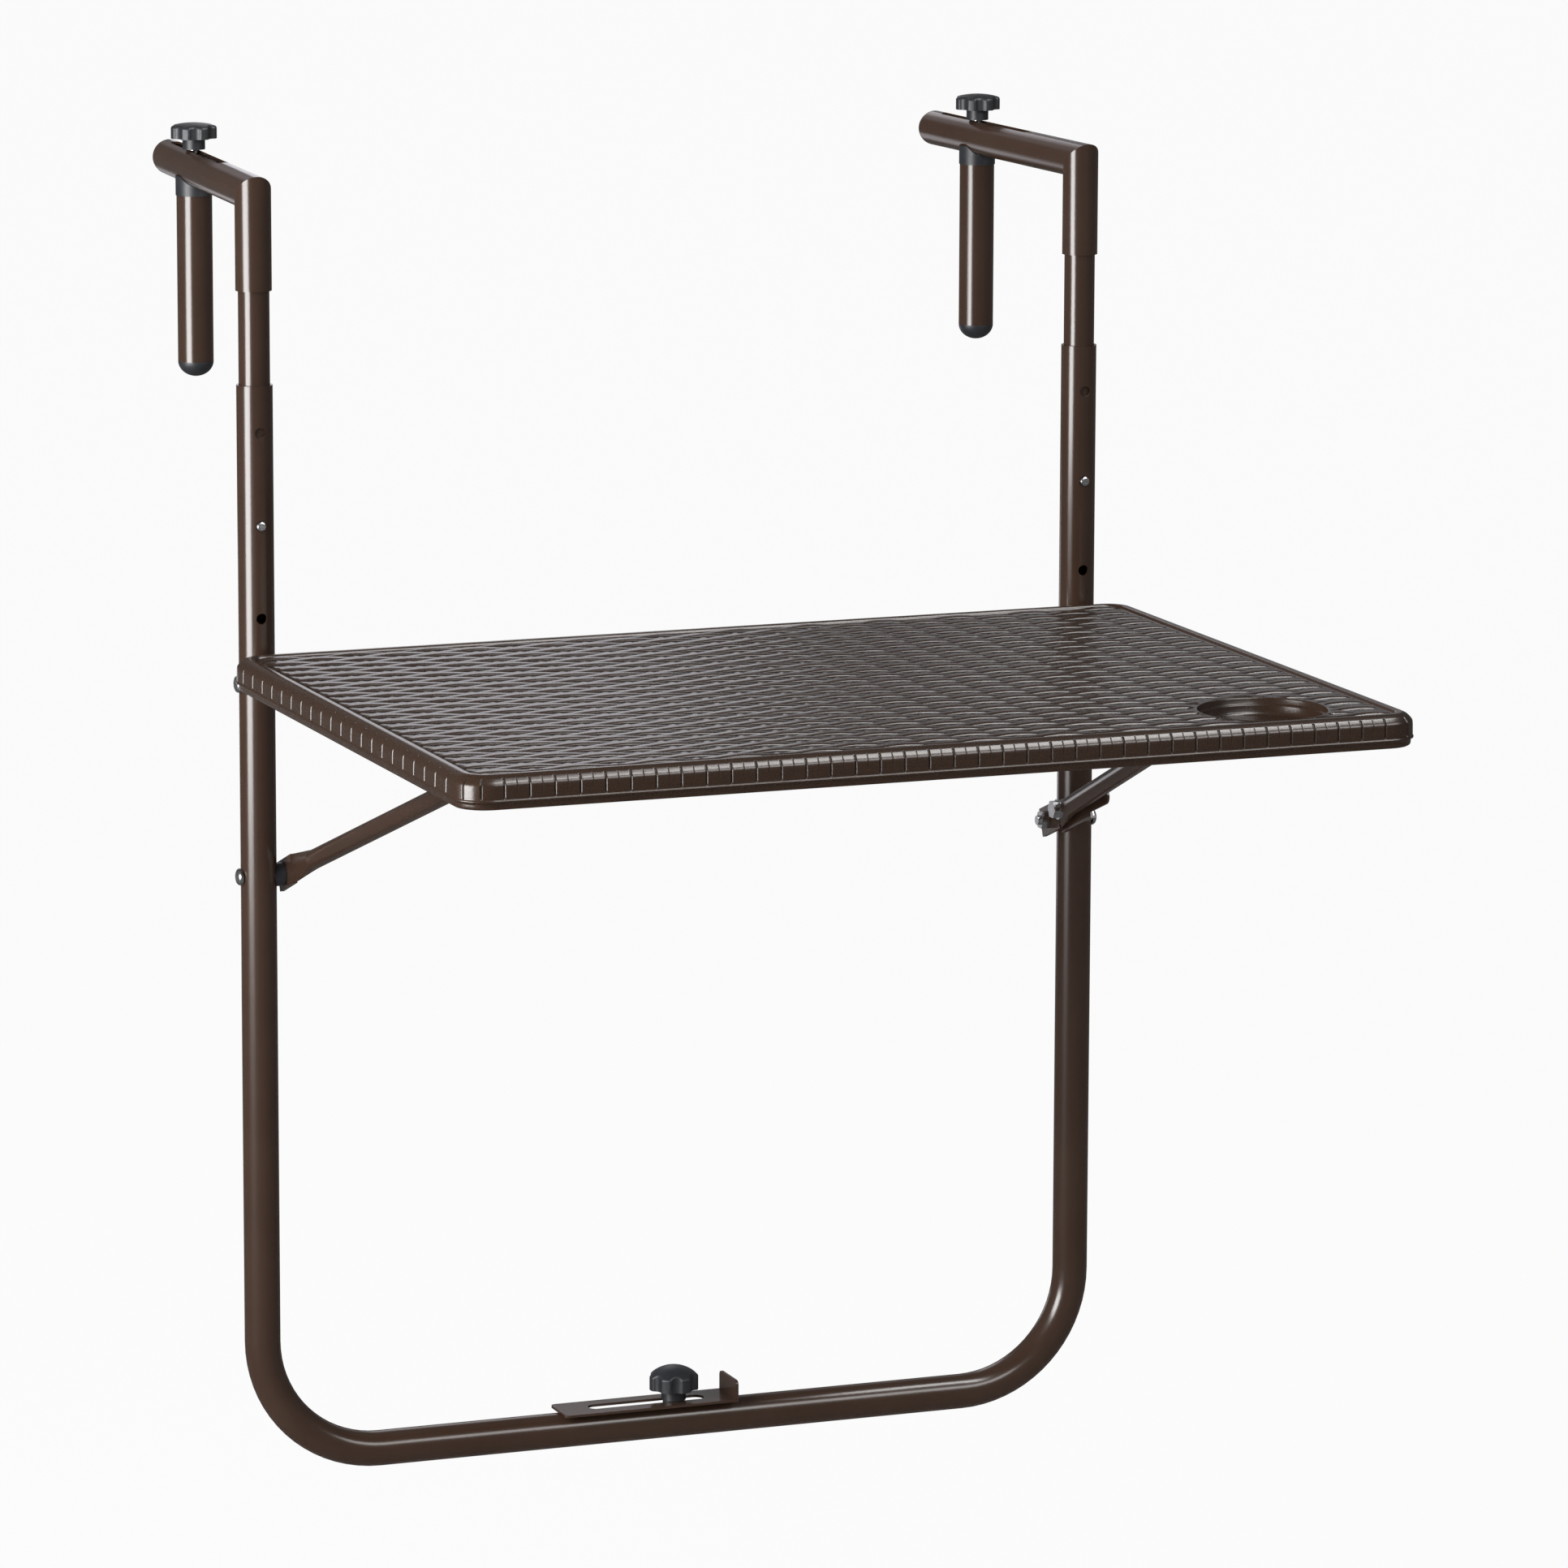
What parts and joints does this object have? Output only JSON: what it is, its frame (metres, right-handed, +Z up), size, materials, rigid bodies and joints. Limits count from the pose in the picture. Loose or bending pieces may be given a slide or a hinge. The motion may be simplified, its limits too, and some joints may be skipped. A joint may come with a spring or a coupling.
{
  "type": "folding balcony table",
  "caption": "Hanging balcony table: woven-look panel folds down on a tube frame that hooks over a railing, with sliding clamps, a support brace and a railing stop.",
  "frame": {"origin": "inner corner of the hooks, midway between them: underside of the arms, rear face of the uprights", "axes": "+X along the railing to the user's right, -Y towards the user, +Z up"},
  "size_m": [0.59, 0.6716, 0.8226],
  "materials": {
    "brown_powder_coat": "satin dark brown powder coat",
    "woven_plastic": "semi-gloss moulded dark brown with a woven relief",
    "black_plastic": "satin moulded black",
    "bright_steel": "bright zinc plate"
  },
  "bodies": {
    "frame": {"leg_frame": "brown_powder_coat", "hinge_bolts": "bright_steel", "hinge_nuts": "bright_steel", "brace_bolts": "bright_steel", "brace_nuts": "bright_steel", "brace_spacers": "black_plastic", "stop_nut": "bright_steel"},
    "table": {"table_top": "woven_plastic", "left_hinge_bracket": "brown_powder_coat", "right_hinge_bracket": "brown_powder_coat", "bracket_screws": "bright_steel"},
    "brace": {"support_brace": "brown_powder_coat", "lock_bolt": "bright_steel", "lock_washer": "bright_steel"},
    "lever": {"lock_lever": "brown_powder_coat"},
    "stop_swivel_guide": {"stop_guide": "black_plastic"},
    "stop": {"stop_plate": "brown_powder_coat"},
    "stop_knob_unit": {"stop_knob": "black_plastic", "stop_stud": "bright_steel"},
    "left_hook_unit": {"left_hook": "brown_powder_coat", "left_arm_cap": "brown_powder_coat", "left_inner_tube": "brown_powder_coat", "left_button_spring": "bright_steel"},
    "left_button_unit": {"left_snap_button": "bright_steel"},
    "left_clamp_unit": {"left_clamp_tube": "brown_powder_coat", "left_clamp_saddle": "black_plastic", "left_clamp_foot": "black_plastic", "left_clamp_nut": "bright_steel"},
    "left_knob_unit": {"left_clamp_knob": "black_plastic", "left_clamp_stud": "bright_steel"},
    "right_hook_unit": {"right_hook": "brown_powder_coat", "right_arm_cap": "brown_powder_coat", "right_inner_tube": "brown_powder_coat", "right_button_spring": "bright_steel"},
    "right_button_unit": {"right_snap_button": "bright_steel"},
    "right_clamp_unit": {"right_clamp_tube": "brown_powder_coat", "right_clamp_saddle": "black_plastic", "right_clamp_foot": "black_plastic", "right_clamp_nut": "bright_steel"},
    "right_knob_unit": {"right_clamp_knob": "black_plastic", "right_clamp_stud": "bright_steel"}
  },
  "joints": [
    {"name": "left_height", "type": "slide", "parent": "frame", "child": "left_hook_unit", "axis": [0, 0, 1], "range_m": [-0.0565, 0.0565], "deforming": ["left_snap_button", "left_button_spring"]},
    {"name": "left_button_press", "type": "slide", "parent": "left_hook_unit", "child": "left_button_unit", "axis": [0, 1, 0], "range_m": [0, 0.0035], "stiffness_N_per_m": 1500, "springref_m": -0.001},
    {"name": "left_clamp_slide", "type": "slide", "parent": "left_hook_unit", "child": "left_clamp_unit", "axis": [0.0593, 0.9982, 0], "range_m": [-0.0735, 0.0445]},
    {"name": "left_knob_turn", "type": "hinge", "parent": "left_clamp_unit", "child": "left_knob_unit", "pos_m": [-0.26128, 0.13574, 0.03], "axis": [0, 0, 1], "continuous": true},
    {"name": "right_height", "type": "slide", "parent": "frame", "child": "right_hook_unit", "axis": [0, 0, 1], "range_m": [-0.0565, 0.0565], "deforming": ["right_snap_button", "right_button_spring"]},
    {"name": "right_button_press", "type": "slide", "parent": "right_hook_unit", "child": "right_button_unit", "axis": [0, 1, 0], "range_m": [0, 0.0035], "stiffness_N_per_m": 1500, "springref_m": -0.001},
    {"name": "right_clamp_slide", "type": "slide", "parent": "right_hook_unit", "child": "right_clamp_unit", "axis": [-0.0593, 0.9982, 0], "range_m": [-0.0735, 0.0445]},
    {"name": "right_knob_turn", "type": "hinge", "parent": "right_clamp_unit", "child": "right_knob_unit", "pos_m": [0.26128, 0.13574, 0.03], "axis": [0, 0, 1], "continuous": true},
    {"name": "table_fold", "type": "hinge", "parent": "frame", "child": "table", "pos_m": [0, -0.011, -0.287], "axis": [1, 0, 0], "range_deg": [0, 85]},
    {"name": "brace_swing", "type": "hinge", "parent": "frame", "child": "brace", "pos_m": [0, -0.011, -0.406], "axis": [1, 0, 0], "range_deg": [0, 108]},
    {"name": "lever_turn", "type": "hinge", "parent": "brace", "child": "lever", "pos_m": [0.25557, -0.04647, -0.39238], "axis": [1, 0, 0], "range_deg": [0, 12], "stiffness_Nm_per_rad": 0.05, "springref_deg": -11.46},
    {"name": "stop_swivel", "type": "hinge", "parent": "frame", "child": "stop_swivel_guide", "pos_m": [0, -0.011, -0.761], "axis": [0, 0, 1], "continuous": true},
    {"name": "stop_slide", "type": "slide", "parent": "stop_swivel_guide", "child": "stop", "axis": [1, 0, 0], "range_m": [-0.0125, 0.0495]},
    {"name": "stop_knob_turn", "type": "hinge", "parent": "frame", "child": "stop_knob_unit", "pos_m": [0, -0.011, -0.75], "axis": [0, 0, 1], "continuous": true}
  ],
  "couplings": [
    {"joint": "brace_swing", "follows": "table_fold", "ratio": 1.27}
  ]
}
